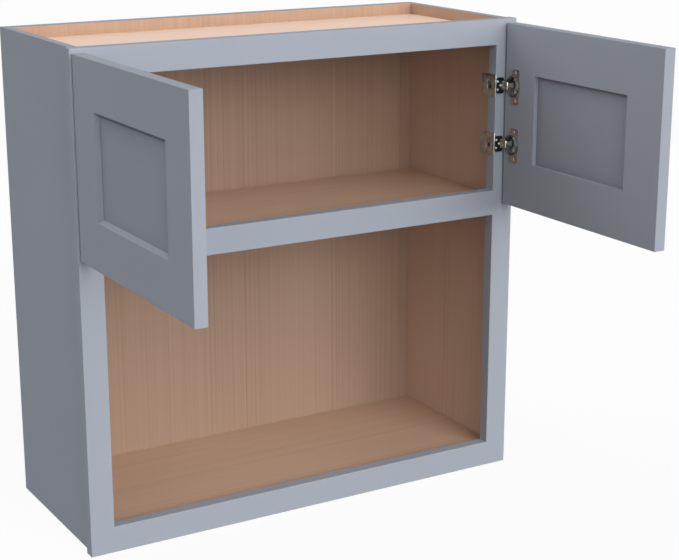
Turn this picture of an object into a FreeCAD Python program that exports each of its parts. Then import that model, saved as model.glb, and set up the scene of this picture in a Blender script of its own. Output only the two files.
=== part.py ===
import FreeCAD, Part
import math
import os

# Framed wall cabinet: two shaker doors over an open microwave bay.
# Origin at the bottom centre of the wall plane, front towards -Y, up is +Z, millimetres.

# Overall size
cabinet_width = 762.0
cabinet_height = 762.0
cabinet_depth = 304.8

# Face frame
frame_thickness = 19.05
stile_width = 38.1
rail_width = 41.3
bay_opening_height = 400.0
frame_overhang = 6.35
tenon_length = 9.5
tenon_thickness = 6.35
tenon_shoulder = 6.5
frame_edge_radius = 1.0

# Box
side_thickness = 12.7
panel_thickness = 12.7
shelf_thickness = 19.05
back_thickness = 3.2
joint_depth = 6.35
tongue_thickness = 6.35
top_well_depth = 18.3
shelf_drop = 13.0
floor_drop = 5.5

# Hanging rails and their pocket screws
hanging_rail_thickness = 19.05
hanging_rail_height = 88.9
pocket_angle = 15.0
pocket_radius = 4.75
pocket_seat = 13.0
pocket_spacing = 44.0
pocket_screw_head_radius = 4.2
pocket_screw_head_height = 2.4
pocket_screw_radius = 2.0
pocket_screw_bite = 9.0

# Doors
door_thickness = 19.05
door_frame_width = 76.2
door_side_overlay = 31.75
door_top_overlay = 34.95
door_bottom_overlay = 22.25
door_meeting_gap = 3.2
door_panel_thickness = 5.0
door_inside_bevel = 5.5
door_quirk = 1.2
door_groove_depth = 9.5
door_edge_radius = 0.8
door_rest_angle = 90.0

# Fits
glue_gap = 0.1
end_gap = 0.25
panel_float = 1.0
screw_gap = 0.05
pin_press_gap = 0.02
pin_running_gap = 0.06
cup_bore_gap = 0.15

# Hinge axis, measured from the closed door
hinge_spacing = 95.3
pin_from_edge = 7.0
pin_from_back = 8.0
door_standoff = 3.0

# Hinge cup
cup_radius = 17.5
cup_edge_distance = 3.0
cup_depth = 12.4
cup_wall = 0.8
cup_corner_chamfer = 1.0
flange_thickness = 1.2
flange_ring = 1.3
flange_width = 21.0
flange_height = 57.0
flange_corner_radius = 3.0
flange_offset = 5.5
cup_screw_spacing = 45.0
lug_thickness = 2.4
lug_reach = 2.6
lug_gap = 0.3

# Hinge pin and arm
pin_radius = 1.25
eye_radius = 2.2
eye_width = 8.0
arm_thickness = 1.5
neck_width = 14.0
neck_bend_radius = 1.0
neck_top_reach = 11.0
neck_foot_in = 14.2
neck_taper_start = 8.0
neck_taper_end = 13.0
neck_slot_gap = 0.4
front_plate_setback = 0.25
front_plate_margin = 0.25
front_plate_corner = 3.0

# Hinge base
base_thickness = 1.2
base_height = 36.0
base_depth = 25.0
base_rise = 8.5
base_rise_setback = 1.0
base_slot_travel = 5.0
base_screw_depth = 11.0
window_room = 0.4
window_height = 12.0
tab_length = 14.5
tab_height = 26.0
tab_corner_radius = 3.0

# Self-closing springs
spring_thickness = 0.7
spring_width = 3.8
spring_side_gap = 1.6
spring_flat = 8.0
spring_radius = 9.0
spring_sweep = 55.0

# Hinge screws
wood_screw_head_radius = 3.4
wood_screw_head_height = 1.2
wood_screw_radius = 1.8
wood_screw_length = 13.0
rivet_head_radius = 1.8
rivet_head_height = 0.6
rivet_radius = 1.1
rivet_side_height = 6.5
rivet_side_inset = 2.2
rivet_neck_inset = 7.7

# Planes that several pieces share
frame_front = -cabinet_depth
frame_back = frame_front + frame_thickness
back_front = -(hanging_rail_thickness + back_thickness)
back_rear = -hanging_rail_thickness
stile_inside = cabinet_width / 2 - stile_width
side_outside = cabinet_width / 2 - frame_overhang
side_inside = side_outside - side_thickness
side_front = frame_back - joint_depth + end_gap
middle_rail_bottom = rail_width + bay_opening_height
middle_rail_top = middle_rail_bottom + rail_width
top_rail_bottom = cabinet_height - rail_width
floor_top = rail_width - floor_drop
shelf_top = middle_rail_top - shelf_drop
well_floor = cabinet_height - top_well_depth

door_bottom = middle_rail_top - door_bottom_overlay
door_top = top_rail_bottom + door_top_overlay
door_hinge_edge = stile_inside + door_side_overlay
door_free_edge = door_meeting_gap / 2
door_back = frame_front - door_standoff
door_front = door_back - door_thickness
door_bevel_end = door_front + door_inside_bevel
door_panel_front = door_bevel_end + door_quirk
door_panel_back = door_panel_front + door_panel_thickness

# The pin of the right door, and the heights of the hinges
pin_x = door_hinge_edge - pin_from_edge
pin_y = door_back - pin_from_back
door_middle = (door_bottom + door_top) / 2
hinge_heights = {"upper": door_middle + hinge_spacing / 2, "lower": door_middle - hinge_spacing / 2}

# Hinge places from the pin: "in" runs to the middle of the cabinet, "out" to the front
stile_in = door_side_overlay - pin_from_edge
frame_out = -(pin_from_back + door_standoff)
flange_out = -pin_from_back - flange_thickness
cup_in = cup_edge_distance + cup_radius - pin_from_edge
cup_bore = cup_radius - cup_wall
cup_floor_out = cup_depth - cup_wall - pin_from_back
flange_in = cup_in + flange_offset
base_face_in = stile_in + base_thickness
lug_inside = eye_width / 2 + lug_gap
lug_outside = lug_inside + lug_thickness
base_screw_out = frame_out - base_screw_depth
base_screw_height = -base_slot_travel / 2
tab_out = frame_out + base_thickness
plate_out = tab_out + arm_thickness
plate_start = stile_in - tab_length + front_plate_margin
plate_end = stile_in - front_plate_setback
rivet_places = [
    (plate_end - rivet_side_inset, rivet_side_height),
    (plate_end - rivet_side_inset, -rivet_side_height),
    (plate_end - rivet_neck_inset, 0),
]

UP = FreeCAD.Vector(0, 0, 1)
INWARD = FreeCAD.Vector(1, 0, 0)
OUTWARD = FreeCAD.Vector(0, 1, 0)
CENTRE = FreeCAD.Vector(0, 0, 0)
SAME_PLACE = 1e-4

os.makedirs("parts", exist_ok=True)


def block(x_span, y_span, z_span):
    low = FreeCAD.Vector(min(x_span), min(y_span), min(z_span))
    high = FreeCAD.Vector(max(x_span), max(y_span), max(z_span))
    size = high - low
    return Part.makeBox(size.x, size.y, size.z, low)


def both_ways(half):
    return (-half, half)


def edges_on(shape, **planes):
    """Edges that lie wholly on the given coordinate planes."""
    picked = []
    for edge in shape.Edges:
        places = [(getattr(v, axis.upper()), at) for v in edge.Vertexes for axis, at in planes.items()]
        if all(abs(value - at) < SAME_PLACE for value, at in places):
            picked.append(edge)
    return picked


def mirrored(shape):
    return shape.mirror(CENTRE, INWARD)


def extruded(corners, direction):
    """Prism on a closed outline. An item that is a pair holds an arc's middle point and its end."""
    edges = []
    start = corners[0]
    for corner in corners[1:] + corners[:1]:
        if isinstance(corner, tuple):
            edges.append(Part.Arc(start, corner[0], corner[1]).toShape())
            start = corner[1]
        else:
            edges.append(Part.LineSegment(start, corner).toShape())
            start = corner
    return Part.Face(Part.Wire(edges)).extrude(direction)


def on_arc(centre, radius, degrees):
    """Point of an arc in the hinge's in and out plane."""
    turn = math.radians(degrees)
    return centre + FreeCAD.Vector(radius * math.cos(turn), radius * math.sin(turn), 0)


def screw(head_radius, head_height, shank_radius, shank_length, seat, direction):
    """Screw or rivet whose flat head sits on the seat and whose shank runs in the direction."""
    profile = [
        FreeCAD.Vector(0, 0, -shank_length),
        FreeCAD.Vector(shank_radius, 0, -shank_length),
        FreeCAD.Vector(shank_radius, 0, 0),
        FreeCAD.Vector(head_radius, 0, 0),
        FreeCAD.Vector(head_radius, 0, head_height),
        FreeCAD.Vector(0, 0, head_height),
    ]
    body = Part.Face(Part.makePolygon(profile + profile[:1])).revolve(CENTRE, UP, 360)
    body.Placement = FreeCAD.Placement(seat, FreeCAD.Rotation(UP, direction * -1))
    return body


def save(name, shape):
    shape.exportStep("parts/" + name + ".step")


def save_pair(name, right_shape):
    """Right-hand piece and its mirror image, named for their side."""
    save("right_" + name, right_shape)
    save("left_" + name, mirrored(right_shape))


def on_both_sides(pieces):
    return Part.makeCompound(pieces + [mirrored(piece) for piece in pieces])


# Pocket screws in the hanging rails

def pocket_places():
    """Axis points on the right end of both hanging rails."""
    places = []
    for bottom in (0, cabinet_height - hanging_rail_height):
        middle = bottom + hanging_rail_height / 2
        for height in (middle - pocket_spacing / 2, middle + pocket_spacing / 2):
            places.append(FreeCAD.Vector(side_inside, -hanging_rail_thickness / 2, height))
    return places


pocket_turn = math.radians(pocket_angle)
pocket_direction = FreeCAD.Vector(math.cos(pocket_turn), -math.sin(pocket_turn), 0)
pocket_run = pocket_seat + hanging_rail_thickness / math.sin(pocket_turn)


def pocket_screws():
    length = pocket_seat + pocket_screw_bite
    right = [
        screw(pocket_screw_head_radius, pocket_screw_head_height, pocket_screw_radius, length,
              place - pocket_direction * pocket_seat, pocket_direction)
        for place in pocket_places()
    ]
    return on_both_sides(right)


def pocket_holes():
    """Drilling for the right-hand screws: a wide pocket and a close hole."""
    holes = []
    for place in pocket_places():
        seat = place - pocket_direction * pocket_seat
        hole_length = pocket_seat + pocket_screw_bite + end_gap
        hole_radius = pocket_screw_radius + screw_gap
        holes.append(Part.makeCylinder(pocket_radius, pocket_run, seat, pocket_direction * -1))
        holes.append(Part.makeCylinder(hole_radius, hole_length, seat, pocket_direction))
    return Part.makeCompound(holes)


# Plywood box

def housed_panel(top, thickness):
    """Board between the sides, with a tongue along the lower edge of each end."""
    bottom = top - thickness
    tongue_end = side_inside + joint_depth - end_gap
    board = block(both_ways(side_inside), (frame_back, back_front), (bottom, top))
    tongue = block(both_ways(tongue_end), (frame_back, back_front), (bottom, bottom + tongue_thickness))
    return board.fuse(tongue).removeSplitter()


housed_bottoms = [
    floor_top - panel_thickness,
    shelf_top - shelf_thickness,
    well_floor - panel_thickness,
]


def side_panel():
    """Right side with dados for the boards and a groove for the back."""
    side = block((side_inside, side_outside), (side_front, 0), (0, cabinet_height))
    housing = (side_inside, side_inside + joint_depth)
    cuts = [
        block(housing, (side_front, back_front),
              (bottom - glue_gap, bottom + tongue_thickness + glue_gap))
        for bottom in housed_bottoms
    ]
    cuts.append(block(housing, (back_front - glue_gap, back_rear + glue_gap), (0, cabinet_height)))
    cuts.append(pocket_holes())
    return side.cut(cuts)


def back_panel():
    edge = side_inside + joint_depth - end_gap
    return block(both_ways(edge), (back_front, back_rear), (0, cabinet_height))


def hanging_rail(bottom):
    rail = block(both_ways(side_inside), (back_rear, 0), (bottom, bottom + hanging_rail_height))
    holes = pocket_holes()
    return rail.cut([holes, mirrored(holes)])


# Face frame

def tenon(bottom, end, fit):
    """Tenon of a rail at the right stile, grown by the fit for its mortise."""
    middle = frame_front + frame_thickness / 2
    half = tenon_thickness / 2 + fit
    z_span = (bottom + tenon_shoulder - fit, bottom + rail_width - tenon_shoulder + fit)
    return block((0, end), (middle - half, middle + half), z_span)


rail_bottoms = {"bottom": 0, "middle": middle_rail_bottom, "top": top_rail_bottom}
frame_openings = [(rail_width, middle_rail_bottom), (middle_rail_top, top_rail_bottom)]


def rounding(radius, z_span):
    """What rounding off takes from the front inside edge of the right stile."""
    corner = FreeCAD.Vector(stile_inside, frame_front, min(z_span))
    square = block((corner.x, corner.x + radius), (corner.y, corner.y + radius), z_span)
    axis = corner + FreeCAD.Vector(radius, radius, 0)
    return square.cut(Part.makeCylinder(radius, max(z_span) - min(z_span), axis))


def frame_stile():
    outside = cabinet_width / 2
    stile = block((stile_inside, outside), (frame_front, frame_back), (0, cabinet_height))
    rounded = edges_on(stile, x=outside, y=frame_front)
    rounded += edges_on(stile, y=frame_front, z=0) + edges_on(stile, y=frame_front, z=cabinet_height)
    stile = stile.makeFillet(frame_edge_radius, rounded)
    side_groove = block((side_inside - glue_gap, side_outside + glue_gap),
                        (frame_back - joint_depth, frame_back), (0, cabinet_height))
    mortise_end = stile_inside + tenon_length + end_gap
    cuts = [side_groove]
    cuts += [tenon(bottom, mortise_end, glue_gap) for bottom in rail_bottoms.values()]
    cuts += [rounding(frame_edge_radius, opening) for opening in frame_openings]
    cuts += [base_screw_hole(height) for height in hinge_heights.values()]
    return stile.cut(cuts)


def frame_rail(bottom):
    z_span = (bottom, bottom + rail_width)
    rail = block(both_ways(stile_inside), (frame_front, frame_back), z_span)
    rounded = [edge for z in z_span for edge in edges_on(rail, y=frame_front, z=z)]
    rail = rail.makeFillet(frame_edge_radius, rounded)
    right_tenon = tenon(bottom, stile_inside + tenon_length, 0)
    return rail.fuse([right_tenon, mirrored(right_tenon)]).removeSplitter()


# Concealed hinges, drawn about the pin and then moved to the right-hand stile

def hinge_point(inward, outward, height=0.0):
    return FreeCAD.Vector(inward, outward, height)


def at_hinge(shape, height):
    """Right-hand place of a hinge piece, with the door closed."""
    placed = shape.copy()
    placed.rotate(CENTRE, UP, 180)
    placed.translate(FreeCAD.Vector(pin_x, pin_y, height))
    return placed


def pin_cylinder(radius, half_length):
    return Part.makeCylinder(radius, 2 * half_length, hinge_point(0, 0, -half_length))


def rounded_plate(in_span, out_span, half_height, radius):
    plate = block(in_span, out_span, both_ways(half_height))
    corners = [
        edge for at in in_span for z in both_ways(half_height) for edge in edges_on(plate, x=at, z=z)
    ]
    return plate.makeFillet(radius, corners)


def hinge_cup():
    """Pressed cup with a screw flange, and two lugs inside that hold the pin."""
    mouth = hinge_point(cup_in, flange_out)
    shell = Part.makeCylinder(cup_radius, cup_depth + flange_thickness, mouth, OUTWARD)
    shell = shell.makeChamfer(cup_corner_chamfer, edges_on(shell, y=cup_floor_out + cup_wall))
    ring = Part.makeCylinder(cup_radius + flange_ring, flange_thickness, mouth, OUTWARD)
    plate = rounded_plate((flange_in - flange_width / 2, flange_in + flange_width / 2),
                          (flange_out, flange_out + flange_thickness),
                          flange_height / 2, flange_corner_radius)
    hollow = Part.makeCylinder(cup_bore, cup_floor_out - flange_out, mouth, OUTWARD)
    envelope = Part.makeCylinder(cup_radius - cup_wall / 2, cup_floor_out - flange_out + cup_wall / 2,
                                 mouth, OUTWARD)
    lugs = [
        block(both_ways(lug_reach), (-lug_reach, cup_floor_out + cup_wall / 2), z_span).common(envelope)
        for z_span in ((lug_inside, lug_outside), (-lug_outside, -lug_inside))
    ]
    cup = shell.fuse([ring, plate]).cut(hollow).fuse(lugs)
    holes = [pin_cylinder(pin_radius + pin_press_gap, lug_outside)]
    holes += [
        Part.makeCylinder(wood_screw_radius + screw_gap, flange_thickness,
                          hinge_point(flange_in, flange_out, z), OUTWARD)
        for z in both_ways(cup_screw_spacing / 2)
    ]
    return cup.cut(holes).removeSplitter()


def hinge_arm():
    """Front plate riveted to the base, with a tongue cranked out of it to an eye on the pin."""
    strap_out = eye_radius - arm_thickness
    slope = math.atan2(eye_radius - plate_out, neck_foot_in - neck_top_reach)
    shift = arm_thickness * math.tan(slope / 2)
    outline = [
        hinge_point(0, eye_radius),
        hinge_point(neck_top_reach, eye_radius),
        hinge_point(neck_foot_in, plate_out),
        hinge_point(plate_end, plate_out),
        hinge_point(plate_end, tab_out),
        hinge_point(neck_foot_in - shift, tab_out),
        hinge_point(neck_top_reach - shift, strap_out),
        hinge_point(0, strap_out),
    ]
    eye_half, neck_half = eye_width / 2, neck_width / 2
    tongue = extruded(outline, UP * neck_width)
    tongue.translate(UP * -neck_half)
    for inward, outward, radius in (
        (neck_top_reach, eye_radius, neck_bend_radius + arm_thickness),
        (neck_top_reach - shift, strap_out, neck_bend_radius),
        (neck_foot_in - shift, tab_out, neck_bend_radius + arm_thickness),
        (neck_foot_in, plate_out, neck_bend_radius),
    ):
        tongue = tongue.makeFillet(radius, edges_on(tongue, x=inward, y=outward))
    plan = [
        hinge_point(-eye_radius, tab_out, -eye_half),
        hinge_point(neck_taper_start, tab_out, -eye_half),
        hinge_point(neck_taper_end, tab_out, -neck_half),
        hinge_point(plate_end, tab_out, -neck_half),
        hinge_point(plate_end, tab_out, neck_half),
        hinge_point(neck_taper_end, tab_out, neck_half),
        hinge_point(neck_taper_start, tab_out, eye_half),
        hinge_point(-eye_radius, tab_out, eye_half),
    ]
    tongue = tongue.common(extruded(plan, OUTWARD * (eye_radius - tab_out)))
    plate_depth = (tab_out, plate_out)
    plate = rounded_plate((plate_start, plate_end), plate_depth, tab_height / 2, front_plate_corner)
    slot = block((plate_start, neck_foot_in), plate_depth, both_ways(neck_half + neck_slot_gap))
    arm = tongue.fuse([plate.cut(slot), pin_cylinder(eye_radius, eye_half)])
    holes = [pin_cylinder(pin_radius + pin_running_gap, eye_half)]
    return arm.cut(holes + rivet_holes()).removeSplitter()


def rivet_holes():
    """Holes for the rivets through the front plate and the tab under it."""
    return [
        Part.makeCylinder(rivet_radius + screw_gap, plate_out - frame_out,
                          hinge_point(inward, frame_out, z), OUTWARD)
        for inward, z in rivet_places
    ]


def hinge_base():
    """Foot inside the stile under a sloping cover, with a tab wrapped onto the frame's front."""
    corner = hinge_point(stile_in, frame_out)
    rear = frame_out - base_depth
    outline = [
        hinge_point(stile_in - tab_length, frame_out),
        corner,
        hinge_point(stile_in, rear),
        hinge_point(base_face_in, rear),
        hinge_point(base_face_in, frame_out),
        (on_arc(corner, base_thickness, 45), on_arc(corner, base_thickness, 90)),
        hinge_point(stile_in - tab_length, tab_out),
    ]
    half = base_height / 2
    base = extruded(outline, UP * base_height)
    base.translate(UP * -half)
    trims = [
        block((stile_in - tab_length, stile_in), (frame_out, tab_out), z_span)
        for z_span in ((tab_height / 2, half), (-half, -tab_height / 2))
    ]
    base = base.cut(trims)
    tab_corners = [
        edge for z in both_ways(tab_height / 2) for edge in edges_on(base, x=stile_in - tab_length, z=z)
    ]
    base = base.makeFillet(tab_corner_radius, tab_corners)
    cover_front = frame_out - base_rise_setback
    cover = base_cover(base_rise, cover_front, half)
    slope = math.atan2(base_rise, base_depth - base_rise_setback)
    hollow_rise = base_rise - base_thickness / math.cos(slope)
    hollow_front = cover_front - base_thickness / math.sin(slope)
    hollow = base_cover(hollow_rise, hollow_front, half - base_thickness)
    window_half = wood_screw_head_radius + window_room
    window_outs = (base_screw_out - window_half, base_screw_out + window_half)
    window = block((base_face_in, base_face_in + base_rise), window_outs, both_ways(window_height / 2))
    base = base.fuse(cover.cut([hollow, window])).removeSplitter()
    return base.cut(rivet_holes() + [base_slot()])


def base_cover(rise, front, half_height):
    """Wedge on the foot, from nothing at the front to its full rise at the rear."""
    rear = frame_out - base_depth
    corners = [
        hinge_point(base_face_in, front, -half_height),
        hinge_point(base_face_in + rise, rear, -half_height),
        hinge_point(base_face_in, rear, -half_height),
    ]
    return extruded(corners, UP * 2 * half_height)


def base_slot():
    """Upright slot that lets the hinge be set higher or lower on its screw."""
    radius = wood_screw_radius + screw_gap
    z_span = both_ways(base_slot_travel / 2)
    rounds = [
        Part.makeCylinder(radius, base_thickness, hinge_point(stile_in, base_screw_out, z), INWARD)
        for z in z_span
    ]
    middle = block((stile_in, base_face_in), (base_screw_out - radius, base_screw_out + radius), z_span)
    return middle.fuse(rounds)


def hinge_springs():
    """Leaf on each side of the arm, flat on the cup's floor and curling up towards the pin."""
    flat_start = cup_in
    centre = hinge_point(flat_start, cup_floor_out - spring_radius)
    inner_radius = spring_radius - spring_thickness
    last = 90 + spring_sweep
    outline = [
        hinge_point(flat_start + spring_flat, cup_floor_out),
        hinge_point(flat_start, cup_floor_out),
        (on_arc(centre, spring_radius, (90 + last) / 2), on_arc(centre, spring_radius, last)),
        on_arc(centre, inner_radius, last),
        (on_arc(centre, inner_radius, (90 + last) / 2), on_arc(centre, inner_radius, 90)),
        hinge_point(flat_start + spring_flat, cup_floor_out - spring_thickness),
    ]
    leaf = extruded(outline, UP * spring_width)
    start = neck_width / 2 + spring_side_gap
    leaves = [leaf.translated(UP * start), leaf.translated(UP * (-start - spring_width))]
    return Part.makeCompound(leaves)


def base_screws():
    return [
        screw(wood_screw_head_radius, wood_screw_head_height, wood_screw_radius, wood_screw_length,
              hinge_point(base_face_in, base_screw_out, base_screw_height), INWARD * -1)
    ]


def rivets():
    return [
        screw(rivet_head_radius, rivet_head_height, rivet_radius, plate_out - frame_out,
              hinge_point(inward, plate_out, z), OUTWARD * -1)
        for inward, z in rivet_places
    ]


def cup_screws():
    return [
        screw(wood_screw_head_radius, wood_screw_head_height, wood_screw_radius, wood_screw_length,
              hinge_point(flange_in, flange_out, z), OUTWARD)
        for z in both_ways(cup_screw_spacing / 2)
    ]


def placed_screws(screws):
    """One set of screws or rivets at both hinges of the right side, doors closed."""
    return [at_hinge(one, height) for height in hinge_heights.values() for one in screws]


def base_screw_hole(height):
    """Pilot hole of one hinge base in the right stile."""
    depth = wood_screw_length - base_thickness + end_gap
    hole = Part.makeCylinder(wood_screw_radius + screw_gap, depth,
                             hinge_point(stile_in, base_screw_out, base_screw_height), INWARD * -1)
    return at_hinge(hole, height)


def cup_seat(height):
    """Bore and pilot holes of one hinge cup in the closed right door."""
    door_face = -pin_from_back
    depth = wood_screw_length - flange_thickness + end_gap
    bore = Part.makeCylinder(cup_radius + cup_bore_gap, cup_depth + cup_bore_gap,
                             hinge_point(cup_in, door_face), OUTWARD)
    pilots = [
        Part.makeCylinder(wood_screw_radius + screw_gap, depth,
                          hinge_point(flange_in, door_face, z), OUTWARD)
        for z in both_ways(cup_screw_spacing / 2)
    ]
    return at_hinge(Part.makeCompound([bore] + pilots), height)


# Doors, built closed on the right and swung open about the pin

def swung(shape):
    opened = shape.copy()
    opened.rotate(FreeCAD.Vector(pin_x, pin_y, 0), UP, door_rest_angle)
    return opened


def eased_board(x_span, z_span, outside):
    """Door member whose edges on the outside of the door are rounded, front and back."""
    board = block(x_span, (door_front, door_back), z_span)
    rounded = []
    for axis, at in outside:
        for face in (door_front, door_back):
            rounded += edges_on(board, y=face, **{axis: at})
    return board.makeFillet(door_edge_radius, rounded)


def panel_slot(x_span, z_span):
    """Groove that takes the door panel and the rails' tongues."""
    return block(x_span, (door_panel_front - glue_gap, door_panel_back + glue_gap), z_span)


rail_start = door_free_edge + door_frame_width
rail_end = door_hinge_edge - door_frame_width
door_span = (door_bottom, door_top)


def door_stile(outer, inner, seats):
    board = eased_board((outer, inner), door_span, [("x", outer), ("z", door_bottom), ("z", door_top)])
    side = math.copysign(1, outer - inner)
    slot = panel_slot((inner, inner + side * door_groove_depth), door_span)
    bevel = extruded([
        FreeCAD.Vector(inner, door_front, door_bottom),
        FreeCAD.Vector(inner + side * door_inside_bevel, door_front, door_bottom),
        FreeCAD.Vector(inner, door_bevel_end, door_bottom),
    ], UP * (door_top - door_bottom))
    return board.cut([slot, bevel] + seats)


def rail_cope(end, side):
    """What is cut from a rail's end so that its front laps over the bevel of the stile."""
    tip = end + side * door_inside_bevel
    return extruded([
        FreeCAD.Vector(tip, door_front, door_bottom),
        FreeCAD.Vector(end, door_bevel_end, door_bottom),
        FreeCAD.Vector(end, door_back, door_bottom),
        FreeCAD.Vector(tip, door_back, door_bottom),
    ], UP * (door_top - door_bottom))


def door_rail(outer, inner):
    lap_span = (rail_start - door_inside_bevel, rail_end + door_inside_bevel)
    board = eased_board(lap_span, (outer, inner), [("z", outer)])
    board = board.cut([rail_cope(rail_start, -1), rail_cope(rail_end, 1)])
    reach = door_groove_depth - end_gap
    tongue_span = (rail_start - reach, rail_end + reach)
    tongue = block(tongue_span, (door_panel_front, door_panel_back), (outer, inner))
    side = math.copysign(1, outer - inner)
    slot = panel_slot(tongue_span, (inner, inner + side * door_groove_depth))
    bevel = extruded([
        FreeCAD.Vector(lap_span[0], door_front, inner),
        FreeCAD.Vector(lap_span[0], door_front, inner + side * door_inside_bevel),
        FreeCAD.Vector(lap_span[0], door_bevel_end, inner),
    ], INWARD * (lap_span[1] - lap_span[0]))
    return board.fuse(tongue).removeSplitter().cut([slot, bevel])


def door_panel():
    reach = door_groove_depth - panel_float
    return block((rail_start - reach, rail_end + reach), (door_panel_front, door_panel_back),
                 (door_bottom + door_frame_width - reach, door_top - door_frame_width + reach))


# Build every piece

save_pair("side_panel", side_panel())
save("top_panel", housed_panel(well_floor, panel_thickness))
save("bottom_panel", housed_panel(floor_top, panel_thickness))
save("fixed_shelf", housed_panel(shelf_top, shelf_thickness))
save("back_panel", back_panel())
save("top_hanging_rail", hanging_rail(cabinet_height - hanging_rail_height))
save("bottom_hanging_rail", hanging_rail(0))
save("hanging_rail_screws", pocket_screws())

right_stile = frame_stile()
save("frame_right_stile", right_stile)
save("frame_left_stile", mirrored(right_stile))
for place, bottom in rail_bottoms.items():
    save("frame_" + place + "_rail", frame_rail(bottom))

cup_seats = [cup_seat(height) for height in hinge_heights.values()]
save_pair("door_hinge_stile", swung(door_stile(door_hinge_edge, rail_end, cup_seats)))
save_pair("door_free_stile", swung(door_stile(door_free_edge, rail_start, [])))
save_pair("door_top_rail", swung(door_rail(door_top, door_top - door_frame_width)))
save_pair("door_bottom_rail", swung(door_rail(door_bottom, door_bottom + door_frame_width)))
save_pair("door_panel", swung(door_panel()))

fixed_pieces = {"hinge_base": hinge_base(), "hinge_arm": hinge_arm()}
swinging_pieces = {
    "hinge_cup": hinge_cup(),
    "hinge_pin": pin_cylinder(pin_radius, lug_outside),
    "hinge_springs": hinge_springs(),
}
for place, height in hinge_heights.items():
    for piece, shape in fixed_pieces.items():
        save_pair(place + "_" + piece, at_hinge(shape, height))
    for piece, shape in swinging_pieces.items():
        save_pair(place + "_" + piece, swung(at_hinge(shape, height)))

save("hinge_base_screws", on_both_sides(placed_screws(base_screws())))
save("hinge_rivets", on_both_sides(placed_screws(rivets())))
save_pair("door_cup_screws", swung(Part.makeCompound(placed_screws(cup_screws()))))
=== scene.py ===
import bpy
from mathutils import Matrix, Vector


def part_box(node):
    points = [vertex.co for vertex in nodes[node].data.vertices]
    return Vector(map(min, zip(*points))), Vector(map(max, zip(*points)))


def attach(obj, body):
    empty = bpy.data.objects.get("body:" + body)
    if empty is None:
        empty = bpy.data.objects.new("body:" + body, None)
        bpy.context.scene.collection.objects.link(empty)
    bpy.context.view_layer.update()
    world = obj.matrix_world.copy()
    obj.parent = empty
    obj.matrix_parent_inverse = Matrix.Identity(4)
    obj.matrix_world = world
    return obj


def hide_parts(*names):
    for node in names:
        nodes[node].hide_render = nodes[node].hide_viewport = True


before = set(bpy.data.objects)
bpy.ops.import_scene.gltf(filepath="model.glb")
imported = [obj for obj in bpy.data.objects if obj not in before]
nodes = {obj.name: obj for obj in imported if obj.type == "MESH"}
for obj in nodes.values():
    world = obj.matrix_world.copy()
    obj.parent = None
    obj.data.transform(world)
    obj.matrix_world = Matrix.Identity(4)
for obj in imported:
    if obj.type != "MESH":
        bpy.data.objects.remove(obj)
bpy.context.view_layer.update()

import math
import bmesh
import bpy
from mathutils import Matrix, Vector

bpy.ops.object.select_all(action="DESELECT")  # the frame comes in selected
print("frame loaded:", len(nodes), "pieces")


# node graph helpers

def newFinish(name):
    finish = bpy.data.materials.new(name)
    finish.use_nodes = True
    tree = finish.node_tree
    tree.nodes.clear()
    shader = tree.nodes.new("ShaderNodeBsdfPrincipled")
    output = tree.nodes.new("ShaderNodeOutputMaterial")
    tree.links.new(shader.outputs["BSDF"], output.inputs["Surface"])
    return finish, tree, shader


def addNode(tree, kind, settings=None, **sockets):
    node = tree.nodes.new(kind)
    for key, value in (settings or {}).items():
        setattr(node, key, value)
    for key, value in sockets.items():
        node.inputs[key].default_value = value
    return node


def stretchedNoise(tree, stretch, scale, detail=3.0, roughness=0.55, shift=(0, 0, 0)):
    place = addNode(tree, "ShaderNodeTexCoord")
    mapping = addNode(tree, "ShaderNodeMapping", Location=shift, Scale=stretch)
    noise = addNode(tree, "ShaderNodeTexNoise", Scale=scale, Detail=detail, Roughness=roughness)
    tree.links.new(place.outputs["Object"], mapping.inputs["Vector"])
    tree.links.new(mapping.outputs["Vector"], noise.inputs["Vector"])
    return noise.outputs["Fac"]


def spread(tree, source, low, high, outLow, outHigh):
    ranged = addNode(tree, "ShaderNodeMapRange")
    for key, value in (("From Min", low), ("From Max", high), ("To Min", outLow), ("To Max", outHigh)):
        ranged.inputs[key].default_value = value
    tree.links.new(source, ranged.inputs["Value"])
    return ranged.outputs["Result"]


def ramp(tree, source, stops):
    node = addNode(tree, "ShaderNodeValToRGB")
    while len(node.color_ramp.elements) < len(stops):
        node.color_ramp.elements.new(0.5)
    for element, (at, colour) in zip(node.color_ramp.elements, stops):
        element.position = at
        element.color = (*colour, 1)
    tree.links.new(source, node.inputs["Fac"])
    return node.outputs["Color"]


def bumpFrom(tree, source, strength, distance):
    bump = addNode(tree, "ShaderNodeBump", Strength=strength, Distance=distance)
    tree.links.new(source, bump.inputs["Height"])
    return bump.outputs["Normal"]


def mixColours(tree, factor, first, second, blend="MIX"):
    mix = addNode(tree, "ShaderNodeMix", {"data_type": "RGBA", "blend_type": blend})
    for socket, value in ((mix.inputs[0], factor), (mix.inputs[6], first), (mix.inputs[7], second)):
        if isinstance(value, bpy.types.NodeSocket):
            tree.links.new(value, socket)
        else:
            socket.default_value = value
    return mix.outputs[2]


# sprayed satin paint on the frame, the doors and the outsides, with painted shade darkening the doors'
# recessed bevels and panels

slatePaint = {
    "coat": ((0.346, 0.374, 0.429), (0.356, 0.384, 0.439)),  # darker and lighter drifts of one colour
    "panelShadeShare": 0.925,  # the doors' flat panels take the coat a little darker, as painted shade in their recess
    "paintedShadeReach": 0.045,  # how far the painted shade spreads from the recess's corners
    "paintedShadeStrength": 0.32,
    "paintedShadeSteps": (0.5, 0.75, 0.90, 0.97, 1.0),  # openness at which the painted shade is set
    "paintedShadeSamples": 16,
    "driftScale": 5.0,
    "driftRange": (0.35, 0.65),  # part of the noise that the drift uses
    "sheenScale": 45.0,
    "sheenRange": (0.3, 0.7),
    "roughness": (0.52, 0.62),
    "specular": 0.002,
    "peelScale": 620.0,  # orange peel of the spray, per metre
    "peelStrength": 0.25,
    "peelDepth": 0.00004,
}


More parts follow.
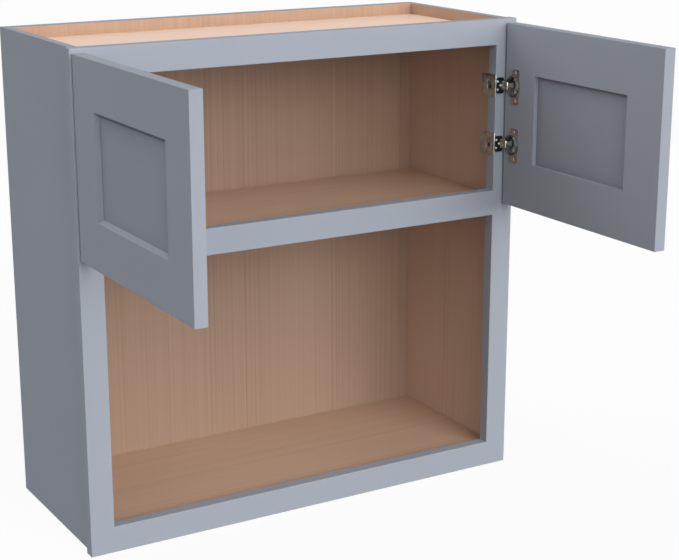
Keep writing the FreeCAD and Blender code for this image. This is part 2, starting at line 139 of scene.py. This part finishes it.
def makePaint(name, values, share, withPaintedShade):
    finish, tree, shader = newFinish(name)
    drift = stretchedNoise(tree, (1, 1, 1), values["driftScale"], 4.0)
    # a share below one darkens the coat, as painted shade on the doors' panels
    coat = [tuple(channel * share for channel in tone) for tone in values["coat"]]
    colour = ramp(tree, drift, list(zip(values["driftRange"], coat)))
    # painted shade: an ambient occlusion node darkens the coat towards the recess's corners
    if withPaintedShade:
        settings = {"samples": values["paintedShadeSamples"]}
        paintedShadeOcclusion = addNode(tree, "ShaderNodeAmbientOcclusion", settings, Distance=values["paintedShadeReach"])
        levels = [1 - values["paintedShadeStrength"] * math.sqrt(1 - step) for step in values["paintedShadeSteps"]]
        greys = [(level, level, level) for level in levels]
        paintedShade = ramp(tree, paintedShadeOcclusion.outputs["AO"], list(zip(values["paintedShadeSteps"], greys)))
        colour = mixColours(tree, 1.0, colour, paintedShade, "MULTIPLY")
    tree.links.new(colour, shader.inputs["Base Color"])
    sheen = stretchedNoise(tree, (1, 1, 1), values["sheenScale"], 3.0)
    roughness = spread(tree, sheen, *values["sheenRange"], *values["roughness"])
    tree.links.new(roughness, shader.inputs["Roughness"])
    shader.inputs["Specular IOR Level"].default_value = values["specular"]
    peel = stretchedNoise(tree, (1, 1, 1), values["peelScale"], 2.0)
    bump = bumpFrom(tree, peel, values["peelStrength"], values["peelDepth"])
    tree.links.new(bump, shader.inputs["Normal"])
    return finish


paint = makePaint("slate_paint", slatePaint, 1.0, False)
# the doors' bevels and panels take the painted shade of their recesses
bevelPaintShaded = makePaint("bevel_paint_painted_shade", slatePaint, 1.0, True)
# the panels' coat is darkened twice, by the share and by the painted shade of the recess
panelPaintShaded = makePaint("panel_paint_painted_shade", slatePaint, slatePaint["panelShadeShare"], True)


# maple veneer under a clear coat, cut from sheets of slightly different tone, with painted light and shade
# laid into each sheet's tone and painted light with a painted sheen on the open well

mapleVeneer = {
    "tones": {  # dark lines, middle and light lines of each sheet
        # the back, side and floor tones stand apart as painted light and shade: the inner back darker, the
        # inner sides and floors lighter
        "back": ((0.293, 0.192, 0.137), (0.340, 0.229, 0.166), (0.382, 0.262, 0.193)),
        "side": ((0.486, 0.350, 0.263), (0.566, 0.413, 0.315), (0.633, 0.474, 0.369)),
        "floor": ((0.497, 0.334, 0.238), (0.578, 0.394, 0.284), (0.648, 0.452, 0.333)),
        # the well's wall tones are painted light and shade, and its floor tones painted light with a painted
        # sheen
        "wellWallPaintedLight": ((0.412, 0.265, 0.183), (0.468, 0.306, 0.215), (0.509, 0.343, 0.249)),
        "wellFloorPaintedSheen": ((0.825, 0.607, 0.484), (0.915, 0.683, 0.552), (0.954, 0.741, 0.611)),
    },
    "lineShare": {"back": 1.0, "side": 0.5, "floor": 1.0},  # how plain the pinstripes are on each sheet
    "paintedWellFrom": 0.7436,  # height where the open well on top begins and its painted light tones take over
    "layers": {  # scale per metre across the grain, wander along it, detail, shift
        "lines": (230.0, 1, 2.0, (0, 0, 0)),
        "groups": (17.0, 8, 1.0, (1.3, 0.6, 2.2)),  # the pinstripes come in groups
        "bands": (7.0, 40, 3.0, (3.1, 1.7, 0.4)),
    },
    "stretchAlong": 0.003,
    "layerRoughness": 0.6,
    "layerRange": (0.25, 0.75),  # part of the noise that lines and bands use
    "lineReach": (-0.27, 0.27),
    "bandReach": (0.38, 0.62),
    "groupRange": (0.40, 0.62),
    "betweenGroups": 0.45,  # share of the pinstripes that is left between groups
    "tonePlaces": (0.15, 0.50, 0.85),
    "sheenRange": (0.3, 0.7),
    "roughness": (0.27, 0.36),
    "specular": (0.15, 0.005),  # inside the cabinet, and in the well
    "poreStrength": 0.2,
    "poreDepth": 0.00005,
}


def makeVeneer(name, values, along, inside, paintedWell):
    finish, tree, shader = newFinish(name)

    def layer(kind):
        scale, wander, detail, shift = values["layers"][kind]
        stretch = [1.0, 1.0, 1.0]
        stretch["xyz".index(along)] = values["stretchAlong"] * wander
        return stretchedNoise(tree, stretch, scale, detail, values["layerRoughness"], shift)

    lines = layer("lines")
    groups = layer("groups")
    bands = layer("bands")
    share = values["lineShare"][inside]
    strength = spread(tree, groups, *values["groupRange"], values["betweenGroups"] * share, share)
    streaks = addNode(tree, "ShaderNodeMath", {"operation": "MULTIPLY"})
    tree.links.new(spread(tree, lines, *values["layerRange"], *values["lineReach"]), streaks.inputs[0])
    tree.links.new(strength, streaks.inputs[1])
    both = addNode(tree, "ShaderNodeMath", {"operation": "ADD"})
    tree.links.new(streaks.outputs[0], both.inputs[0])
    tree.links.new(spread(tree, bands, *values["layerRange"], *values["bandReach"]), both.inputs[1])
    # each board takes its inside tones and its well tones, both with painted light and shade
    paintedLightSheets = [values["tones"][key] for key in (inside, paintedWell)]
    tones = [ramp(tree, both.outputs[0], list(zip(values["tonePlaces"], sheet))) for sheet in paintedLightSheets]
    place = addNode(tree, "ShaderNodeTexCoord")
    split = addNode(tree, "ShaderNodeSeparateXYZ")
    tree.links.new(place.outputs["Object"], split.inputs["Vector"])
    # above that height the well's painted light tones take over
    inPaintedWell = addNode(tree, "ShaderNodeMath", {"operation": "GREATER_THAN"})
    inPaintedWell.inputs[1].default_value = values["paintedWellFrom"]
    tree.links.new(split.outputs["Z"], inPaintedWell.inputs[0])
    tree.links.new(mixColours(tree, inPaintedWell.outputs[0], *tones), shader.inputs["Base Color"])
    gloss = spread(tree, inPaintedWell.outputs[0], 0, 1, *values["specular"])
    tree.links.new(gloss, shader.inputs["Specular IOR Level"])
    roughness = spread(tree, lines, *values["sheenRange"], *values["roughness"])
    tree.links.new(roughness, shader.inputs["Roughness"])
    bump = bumpFrom(tree, lines, values["poreStrength"], values["poreDepth"])
    tree.links.new(bump, shader.inputs["Normal"])
    return finish


backVeneer = makeVeneer("back_veneer", mapleVeneer, "z", "back", "wellWallPaintedLight")
sideVeneer = makeVeneer("side_veneer", mapleVeneer, "z", "side", "wellWallPaintedLight")
floorVeneer = makeVeneer("floor_veneer", mapleVeneer, "x", "floor", "wellFloorPaintedSheen")


# raw plywood edge with its layers showing

plywoodEdge = {
    "layers": ((0.60, 0.42, 0.27), (0.40, 0.25, 0.15)),  # long grain and end grain
    "layerThickness": 0.00254,
    "glueLine": (0.46, 0.54),  # of a layer's thickness, where one grain gives way to the other
    "fibreScale": 900.0,
    "fibreRange": (0.3, 0.7),
    "fibreShade": (0.75, 1.0),
    "fibreStrength": 0.3,
    "fibreDepth": 0.0001,
    "roughness": 0.72,
}


def makePlyEdge(name, values, across):
    finish, tree, shader = newFinish(name)
    place = addNode(tree, "ShaderNodeTexCoord")
    split = addNode(tree, "ShaderNodeSeparateXYZ")
    tree.links.new(place.outputs["Object"], split.inputs["Vector"])
    wave = addNode(tree, "ShaderNodeMath", {"operation": "PINGPONG"})
    wave.inputs[1].default_value = values["layerThickness"]
    tree.links.new(split.outputs["XYZ".index(across)], wave.inputs[0])
    glueLine = [values["layerThickness"] * share for share in values["glueLine"]]
    step = spread(tree, wave.outputs[0], *glueLine, 0, 1)
    long, end = values["layers"]
    fibre = stretchedNoise(tree, (1, 1, 1), values["fibreScale"], 3.0)
    layer = mixColours(tree, step, (*long, 1), (*end, 1))
    greys = [(level, level, level) for level in values["fibreShade"]]
    speck = ramp(tree, fibre, list(zip(values["fibreRange"], greys)))
    tree.links.new(mixColours(tree, 1.0, layer, speck, "MULTIPLY"), shader.inputs["Base Color"])
    bump = bumpFrom(tree, fibre, values["fibreStrength"], values["fibreDepth"])
    tree.links.new(bump, shader.inputs["Normal"])
    shader.inputs["Roughness"].default_value = values["roughness"]
    return finish


plyEdge = makePlyEdge("plywood_edge", plywoodEdge, "X")


# plated hinge metal and screws

hingeMetal = {
    "nickel": {"tones": ((0.36, 0.37, 0.35), (0.44, 0.45, 0.425)), "roughness": (0.20, 0.30)},
    "plate": {"tones": ((0.33, 0.375, 0.375), (0.50, 0.565, 0.565)), "roughness": (0.24, 0.34)},
    # nickel darkened as painted shade, for the cups' insides and the cup screws
    "paintedShade": {"tones": ((0.30, 0.30, 0.30), (0.40, 0.40, 0.395)), "roughness": (0.24, 0.34)},
    # nickel darkened almost to black as painted shadow and dark reflection, for the arms' front plates and
    # the hinge base screws
    "paintedShadow": {"tones": ((0.030, 0.030, 0.033), (0.055, 0.055, 0.058)), "roughness": (0.28, 0.40)},
    "spring": {"tones": ((0.15, 0.155, 0.165), (0.21, 0.215, 0.225)), "roughness": (0.34, 0.46)},
    "zinc": {"tones": ((0.66, 0.66, 0.67), (0.78, 0.78, 0.79)), "roughness": (0.22, 0.38)},
    "cloudScale": 140.0,
    "cloudRange": (0.35, 0.65),
    "grainScale": 700.0,
    "grainRange": (0.3, 0.7),
    "grainStrength": 0.2,
    "grainDepth": 0.00002,
}


def makeMetal(name, values, kind):
    finish, tree, shader = newFinish(name)
    grain = stretchedNoise(tree, (1, 1, 1), values["grainScale"], 3.0)
    cloud = stretchedNoise(tree, (1, 1, 1), values["cloudScale"], 2.0)
    tones = list(zip(values["cloudRange"], values[kind]["tones"]))
    tree.links.new(ramp(tree, cloud, tones), shader.inputs["Base Color"])
    roughness = spread(tree, grain, *values["grainRange"], *values[kind]["roughness"])
    tree.links.new(roughness, shader.inputs["Roughness"])
    bump = bumpFrom(tree, grain, values["grainStrength"], values["grainDepth"])
    tree.links.new(bump, shader.inputs["Normal"])
    shader.inputs["Metallic"].default_value = 1.0
    return finish


nickel = makeMetal("satin_nickel", hingeMetal, "nickel")
plateNickel = makeMetal("plate_nickel", hingeMetal, "plate")
paintedShadeNickel = makeMetal("painted_shade_nickel", hingeMetal, "paintedShade")
paintedShadowNickel = makeMetal("painted_shadow_nickel", hingeMetal, "paintedShadow")
springSteel = makeMetal("spring_steel", hingeMetal, "spring")
zinc = makeMetal("zinc_plate", hingeMetal, "zinc")
print("finishes made")


# finishes onto the frame's pieces, face by face where a board shows more than one

faceTurn = {
    "along": 0.5,  # a face whose normal has more than this along an axis faces that way
    "bevel": (0.2, 0.95),  # along X, for the slanted faces of doors that stand along Y
}


def dress(name, finishes, pick=None):
    mesh = nodes[name].data
    mesh.materials.clear()
    for finish in finishes:
        mesh.materials.append(finish)
    if pick:
        low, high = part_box(name)
        for face in mesh.polygons:
            face.material_index = pick(face, low, high)


def sideFace(face, low, high):
    outward = math.copysign(1, low.x + high.x)
    if face.normal.x * outward > faceTurn["along"] or face.normal.z > faceTurn["along"]:
        return 0
    return 1 if abs(face.normal.x) > faceTurn["along"] else 2


def topFace(face, low, high):
    return 1 if face.normal.z > faceTurn["along"] else 0


def bevelFace(face, low, high):
    least, most = faceTurn["bevel"]
    return 1 if least < abs(face.normal.x) < most else 0


for name in nodes:
    if name.endswith("side_panel"):
        dress(name, [paint, sideVeneer, plyEdge], sideFace)
    elif name == "back_panel":
        dress(name, [backVeneer, paint], topFace)
    elif name == "top_hanging_rail":
        dress(name, [floorVeneer, paint], topFace)
    elif name in ("top_panel", "bottom_panel", "fixed_shelf", "bottom_hanging_rail"):
        dress(name, [floorVeneer])
    elif name.endswith("door_panel"):
        dress(name, [panelPaintShaded])
    elif "_door_" in name and name.endswith(("stile", "rail")):
        dress(name, [paint, bevelPaintShaded], bevelFace)
    elif name.endswith(("hinge_base", "hinge_cup")):
        dress(name, [nickel])
    # the arms take the nickel darkened as painted shadow and dark reflection
    elif name.endswith("hinge_arm"):
        dress(name, [paintedShadowNickel])
    elif name.endswith(("hinge_springs", "hinge_pin")):
        dress(name, [springSteel])
    elif name.endswith(("screws", "rivets")):
        dress(name, [zinc])
    else:
        dress(name, [paint])
print("finishes laid on")


# screws and rivets, each modelled once with its head up at the origin, then copied to its places

woodScrew = {
    "headRadius": 0.0034,
    "headHeight": 0.0012,
    "shankRadius": 0.0018,
    "shankLength": 0.0130,
    "sides": 32,
    "pitch": 0.0018,
    "threadDepth": 0.00045,
    "threadStart": 0.25,  # turns below the head
    "ringsPerTurn": 6,
    "tipLength": 0.0026,
    "tipShare": 0.12,  # of the shank's radius, at the tip's end
    "dome": ((0.45, 1.0), (0.74, 0.93), (0.92, 0.76), (1.0, 0.50)),  # share of height, share of radius
    "slotLength": 1.15,  # of the head's radius
    "slotWidth": 0.30,
    "slotDepth": 0.80,  # of the head's height
    "slotTaper": 0.55,  # the cross narrows as it goes down
}
pocketScrew = dict(woodScrew, headRadius=0.0042, headHeight=0.0024, shankRadius=0.0020, shankLength=0.0220,
                   pitch=0.0024, tipLength=0.0034)
rivet = {
    "headRadius": 0.0018,
    "headHeight": 0.0006,
    "shankRadius": 0.0011,
    "shankLength": 0.0027,
    "sides": 24,
    "dome": ((0.30, 1.0), (0.66, 0.90), (0.90, 0.68), (1.0, 0.36)),
}
fastenerSet = {
    "pocketTurn": 15.0,  # degrees that the pocket screws lean
    "smoothBelow": 32.0,  # degrees between faces that are shaded as one
    "hair": 0.00001,  # a length that counts as none
    "endFacing": 0.9,  # a face whose normal has more than this along the axis is an end
}


def selectFaces(wanted):
    mesh = bmesh.from_edit_mesh(bpy.context.edit_object.data)
    for face in mesh.faces:
        face.select_set(bool(wanted(face)))
    mesh.select_flush_mode()
    bmesh.update_edit_mesh(bpy.context.edit_object.data)


def selectEdges(wanted):
    mesh = bmesh.from_edit_mesh(bpy.context.edit_object.data)
    for face in mesh.faces:
        face.select_set(False)
    for edge in mesh.edges:
        edge.select_set(bool(wanted(edge)))
    bmesh.update_edit_mesh(bpy.context.edit_object.data)


def raiseRing(height, share):
    bpy.ops.mesh.extrude_region_move(TRANSFORM_OT_translate={"value": (0, 0, height)})
    bpy.ops.transform.resize(value=(share, share, 1))


def turnedFastener(name, values):
    length = values["shankLength"]
    top = -values["headHeight"]
    bottom = top - length
    hair = fastenerSet["hair"]
    facing = fastenerSet["endFacing"]
    bpy.ops.object.select_all(action="DESELECT")
    bpy.ops.mesh.primitive_cylinder_add(vertices=values["sides"], radius=values["shankRadius"], depth=length,
                                        location=(0, 0, top - length / 2))
    piece = bpy.context.object
    piece.name = name
    bpy.ops.object.transform_apply(location=True, rotation=True, scale=True)
    bpy.ops.object.mode_set(mode="EDIT")
    bpy.ops.mesh.select_mode(type="FACE")
    selectFaces(lambda face: face.normal.z > facing)
    raiseRing(0, values["headRadius"] / values["shankRadius"])
    lastHeight, lastShare = 0.0, 1.0
    for height, share in values["dome"]:
        raiseRing((height - lastHeight) * values["headHeight"], share / lastShare)
        lastHeight, lastShare = height, share
    if "pitch" in values:
        selectFaces(lambda face: face.normal.z < -facing and face.calc_center_median().z < bottom + hair)
        bpy.ops.transform.translate(value=(0, 0, values["tipLength"]))
        bpy.ops.mesh.select_mode(type="EDGE")
        selectEdges(lambda edge: min(v.co.z for v in edge.verts) < top - hair
                    and abs(edge.verts[0].co.z - edge.verts[1].co.z) > length / 2)
        turns = (length - values["tipLength"]) / values["pitch"]
        bpy.ops.mesh.subdivide(number_cuts=int(turns * values["ringsPerTurn"]))
        bpy.ops.mesh.select_mode(type="FACE")
        selectFaces(lambda face: face.normal.z < -facing and face.calc_center_median().z < top - length / 2)
        raiseRing(-values["tipLength"], values["tipShare"])
    bpy.ops.object.mode_set(mode="OBJECT")
    return piece


def windThread(piece, values):
    top = -values["headHeight"] - values["threadStart"] * values["pitch"]
    low = -values["headHeight"] - values["shankLength"] + values["tipLength"]
    for vertex in piece.data.vertices:
        place = vertex.co
        if low - fastenerSet["hair"] < place.z < top:
            turn = math.atan2(place.y, place.x) / math.tau
            wave = abs((place.z / values["pitch"] - turn) % 1.0 - 0.5) * 2  # 0 in the root, 1 on the crest
            root = values["shankRadius"] - values["threadDepth"]
            grown = (root + values["threadDepth"] * wave ** 2) / values["shankRadius"]
            vertex.co = (place.x * grown, place.y * grown, place.z)


def cutCross(piece, values):
    for turn in (0, 90):
        bpy.ops.object.select_all(action="DESELECT")
        bpy.ops.mesh.primitive_cube_add(size=1)
        bar = bpy.context.object
        length, width = (values[key] * values["headRadius"] for key in ("slotLength", "slotWidth"))
        depth = values["slotDepth"] * values["headHeight"]
        bar.dimensions = (length, width, 2 * depth)
        bar.rotation_euler = (0, 0, math.radians(turn))
        bpy.ops.object.transform_apply(location=True, rotation=True, scale=True)
        bpy.ops.object.mode_set(mode="EDIT")
        bpy.ops.mesh.select_mode(type="FACE")
        selectFaces(lambda face: face.normal.z < -fastenerSet["endFacing"])
        bpy.ops.transform.resize(value=(values["slotTaper"], values["slotTaper"], 1))
        bpy.ops.object.mode_set(mode="OBJECT")
        cut = piece.modifiers.new("cross", "BOOLEAN")
        cut.object = bar
        cut.solver = "EXACT"
        bpy.ops.object.select_all(action="DESELECT")
        piece.select_set(True)
        bpy.context.view_layer.objects.active = piece
        bpy.ops.object.modifier_apply(modifier=cut.name)
        bpy.data.objects.remove(bar, do_unlink=True)


def looseSolids(name):
    mesh = nodes[name].data
    keys = [tuple(round(c, 6) for c in vertex.co) for vertex in mesh.vertices]
    parent = {key: key for key in keys}

    def rootOf(key):
        while parent[key] != key:
            parent[key] = parent[parent[key]]
            key = parent[key]
        return key

    for face in mesh.polygons:
        first = rootOf(keys[face.vertices[0]])
        for index in face.vertices[1:]:
            parent[rootOf(keys[index])] = first
    solids = {}
    for key in parent:
        solids.setdefault(rootOf(key), []).append(Vector(key))
    return list(solids.values())


def headPlace(points, inward):
    along = inward.normalized()
    across = along.orthogonal().normalized()
    third = along.cross(across)

    def middle(direction):
        reach = [point.dot(direction) for point in points]
        return (min(reach) + max(reach)) / 2

    headTop = min(point.dot(along) for point in points)
    return along * headTop + across * middle(across) + third * middle(third)


def setFasteners(node, model, inwardFor, finish, body):
    copies = []
    for points in looseSolids(node):
        side = math.copysign(1, sum(point.x for point in points))
        inward = Vector(inwardFor(side)).normalized()
        copy = bpy.data.objects.new(node + "_set", model.data.copy())
        bpy.context.scene.collection.objects.link(copy)
        turned = (-inward).to_track_quat("Z", "Y").to_matrix().to_4x4()
        copy.matrix_world = Matrix.Translation(headPlace(points, inward)) @ turned
        copies.append(copy)
    bpy.ops.object.select_all(action="DESELECT")
    for copy in copies:
        copy.select_set(True)
    bpy.context.view_layer.objects.active = copies[0]
    bpy.ops.object.transform_apply(location=True, rotation=True, scale=True)
    bpy.ops.object.join()
    group = bpy.context.object
    group.name = node + "_detail"
    bpy.ops.object.transform_apply(location=True, rotation=True, scale=True)
    bpy.ops.object.shade_smooth_by_angle(angle=math.radians(fastenerSet["smoothBelow"]))
    group.data.materials.clear()
    group.data.materials.append(finish)
    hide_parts(node)
    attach(group, body)


woodScrewModel = turnedFastener("wood_screw", woodScrew)
pocketScrewModel = turnedFastener("pocket_screw", pocketScrew)
for model, values in ((woodScrewModel, woodScrew), (pocketScrewModel, pocketScrew)):
    windThread(model, values)
    cutCross(model, values)
rivetModel = turnedFastener("rivet", rivet)


def sideways(side):
    return side, 0, 0


def backward(side):
    return 0, 1, 0


def leaning(side):
    turn = math.radians(fastenerSet["pocketTurn"])
    return side * math.cos(turn), -math.sin(turn), 0


# the hinge base screws take the nickel darkened as painted shadow
setFasteners("hinge_base_screws", woodScrewModel, sideways, paintedShadowNickel, "cabinet")
setFasteners("hinge_rivets", rivetModel, backward, zinc, "cabinet")
setFasteners("hanging_rail_screws", pocketScrewModel, leaning, zinc, "cabinet")
# the cup screws take the nickel darkened as painted shade
for side in ("left", "right"):
    cupScrews = side + "_door_cup_screws"
    setFasteners(cupScrews, woodScrewModel, sideways, paintedShadeNickel, side + "_door")
for model in (woodScrewModel, pocketScrewModel, rivetModel):
    bpy.data.objects.remove(model, do_unlink=True)
print("screws and rivets set")


# hinge stampings with their sheared edges eased, and two finishes on the arm and the cup

hingeStamping = {
    "edge": 0.00025,
    "segments": 2,
    "sharper": 35.0,  # degrees between faces that get an eased edge
    "mergeWithin": 0.000002,
    "flatWithin": 0.5,  # degrees between faces that become one
    "paintedShadowDepth": 0.0030,  # how far the front plate, darkened as painted shadow and dark reflection, stands off the frame
    "cupPaintedShadeDepth": 0.0002,  # how far below the door's face the cup's inside takes the nickel darkened as painted shade
}


def easedCopy(name, values):
    bpy.ops.object.select_all(action="DESELECT")
    nodes[name].select_set(True)
    bpy.context.view_layer.objects.active = nodes[name]
    bpy.ops.object.duplicate()
    piece = bpy.context.object
    piece.name = name + "_stamping"
    bpy.ops.object.mode_set(mode="EDIT")
    bpy.ops.mesh.select_all(action="SELECT")
    bpy.ops.mesh.remove_doubles(threshold=values["mergeWithin"])
    bpy.ops.mesh.dissolve_limited(angle_limit=math.radians(values["flatWithin"]))
    bpy.ops.object.mode_set(mode="OBJECT")
    ease = piece.modifiers.new("ease", "BEVEL")
    ease.width = values["edge"]
    ease.segments = values["segments"]
    ease.limit_method = "ANGLE"
    ease.angle_limit = math.radians(values["sharper"])
    ease.use_clamp_overlap = True
    bpy.ops.object.modifier_apply(modifier=ease.name)
    bpy.ops.object.shade_smooth_by_angle(angle=math.radians(values["sharper"]))
    return piece


def finishStamping(piece, node, finishes, pick, body):
    piece.data.materials.clear()
    for finish in finishes:
        piece.data.materials.append(finish)
    for face in piece.data.polygons:
        face.material_index = pick(face)
    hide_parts(node)
    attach(piece, body)


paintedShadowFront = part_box("frame_top_rail")[0].y - hingeStamping["paintedShadowDepth"]
for side, turn in (("left", -1), ("right", 1)):
    low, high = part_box(side + "_door_hinge_stile")
    cupMouth = low.x if turn > 0 else high.x
    for level in ("upper", "lower"):
        base, arm, cup = (side + "_" + level + "_hinge_" + kind for kind in ("base", "arm", "cup"))
        finishStamping(easedCopy(base, hingeStamping), base, [plateNickel],
                       lambda face: 0, "cabinet")
        # the arm's faces behind the plate's front take the nickel darkened as painted shadow and dark
        # reflection
        finishStamping(easedCopy(arm, hingeStamping), arm, [nickel, paintedShadowNickel],
                       lambda face: int(face.center.y > paintedShadowFront), "cabinet")
        # the cup's inside, deeper than the door's face, takes the nickel darkened as painted shade
        finishStamping(easedCopy(cup, hingeStamping), cup, [nickel, paintedShadeNickel],
                       lambda face: int(turn * (face.center.x - cupMouth) > hingeStamping["cupPaintedShadeDepth"]),
                       side + "_door")
print("hinge stampings eased")


# floor, light and camera

studio = {
    "floorSize": 60.0,
    "floorTone": 0.09,  # what the floor gives back to the object
    "floorSeen": 0.86,  # the lit floor's own tone as the eye sees it
    "floorWhite": 0.92,  # share of plain white that the eye sees
    "skyLight": 0.03,  # what the white sky gives to the object
    "lamps": {  # degrees right of the front, degrees up, level, width in degrees
        "front": (5, 0, 4.02, 60),
        "high": (5, 45, 1.05, 40),
        "right": (60, 10, 0.88, 60),
        "left": (-60, 20, 0.70, 60),
        "backLeft": (-130, 45, 0.87, 60),
        "back": (-150, 28, 0.80, 60),
    },
}


def seenDirectly(tree):
    path = addNode(tree, "ShaderNodeLightPath")
    first = addNode(tree, "ShaderNodeMath", {"operation": "MAXIMUM"})
    second = addNode(tree, "ShaderNodeMath", {"operation": "MAXIMUM"})
    tree.links.new(path.outputs["Is Camera Ray"], first.inputs[0])
    tree.links.new(path.outputs["Is Glossy Ray"], first.inputs[1])
    tree.links.new(first.outputs[0], second.inputs[0])
    tree.links.new(path.outputs["Is Transmission Ray"], second.inputs[1])
    return second.outputs[0]


def makeFloor(values):
    bpy.ops.mesh.primitive_plane_add(size=values["floorSize"], location=(0, 0, 0))
    floor = bpy.context.object
    floor.name = "floor"
    finish = bpy.data.materials.new("pale_floor")
    finish.use_nodes = True
    tree = finish.node_tree
    tree.nodes.clear()
    matt = addNode(tree, "ShaderNodeBsdfDiffuse")
    seen = seenDirectly(tree)
    tones = [(level, level, level, 1) for level in (values["floorTone"], values["floorSeen"])]
    colour = mixColours(tree, seen, *tones)
    tree.links.new(colour, matt.inputs["Color"])
    white = addNode(tree, "ShaderNodeEmission", Color=(1, 1, 1, 1), Strength=1.0)
    blend = addNode(tree, "ShaderNodeMixShader")
    tree.links.new(spread(tree, seen, 0, 1, 0, values["floorWhite"]), blend.inputs["Fac"])
    tree.links.new(matt.outputs["BSDF"], blend.inputs[1])
    tree.links.new(white.outputs["Emission"], blend.inputs[2])
    output = addNode(tree, "ShaderNodeOutputMaterial")
    tree.links.new(blend.outputs["Shader"], output.inputs["Surface"])
    floor.data.materials.append(finish)


def makeSky(values):
    world = bpy.data.worlds.new("studio")
    bpy.context.scene.world = world
    world.use_nodes = True
    tree = world.node_tree
    tree.nodes.clear()
    sky = addNode(tree, "ShaderNodeBackground", Color=(1, 1, 1, 1))
    seen = seenDirectly(tree)
    tree.links.new(spread(tree, seen, 0, 1, values["skyLight"], 1.0), sky.inputs["Strength"])
    output = addNode(tree, "ShaderNodeOutputWorld")
    tree.links.new(sky.outputs["Background"], output.inputs["Surface"])


def addLamp(name, side, height, level, spreadAngle):
    lamp = bpy.data.lights.new(name + "_lamp", "SUN")
    lamp.energy = level
    lamp.angle = math.radians(spreadAngle)
    holder = bpy.data.objects.new(name + "_lamp", lamp)
    bpy.context.scene.collection.objects.link(holder)
    holder.rotation_euler = (math.radians(90 - height), 0, math.radians(side))


makeFloor(studio)
makeSky(studio)
for lampName, lampValues in studio["lamps"].items():
    addLamp(lampName, *lampValues)
bpy.context.scene.view_settings.view_transform = "Standard"

cameraPlace = {
    "location": (-1.1691, -2.3706, 1.0424),
    "yaw": 30.552,  # degrees towards the right of straight ahead
    "pitch": -15.622,
    "lens": 84.06,
    "sensorWidth": 36.0,
}
camera = bpy.data.objects.new("camera", bpy.data.cameras.new("camera"))
bpy.context.scene.collection.objects.link(camera)
camera.data.sensor_fit = "HORIZONTAL"
camera.data.sensor_width = cameraPlace["sensorWidth"]
camera.data.lens = cameraPlace["lens"]
camera.location = cameraPlace["location"]
camera.rotation_euler = (math.radians(90 + cameraPlace["pitch"]), 0, math.radians(-cameraPlace["yaw"]))
bpy.context.scene.camera = camera
print("floor, light and camera set")
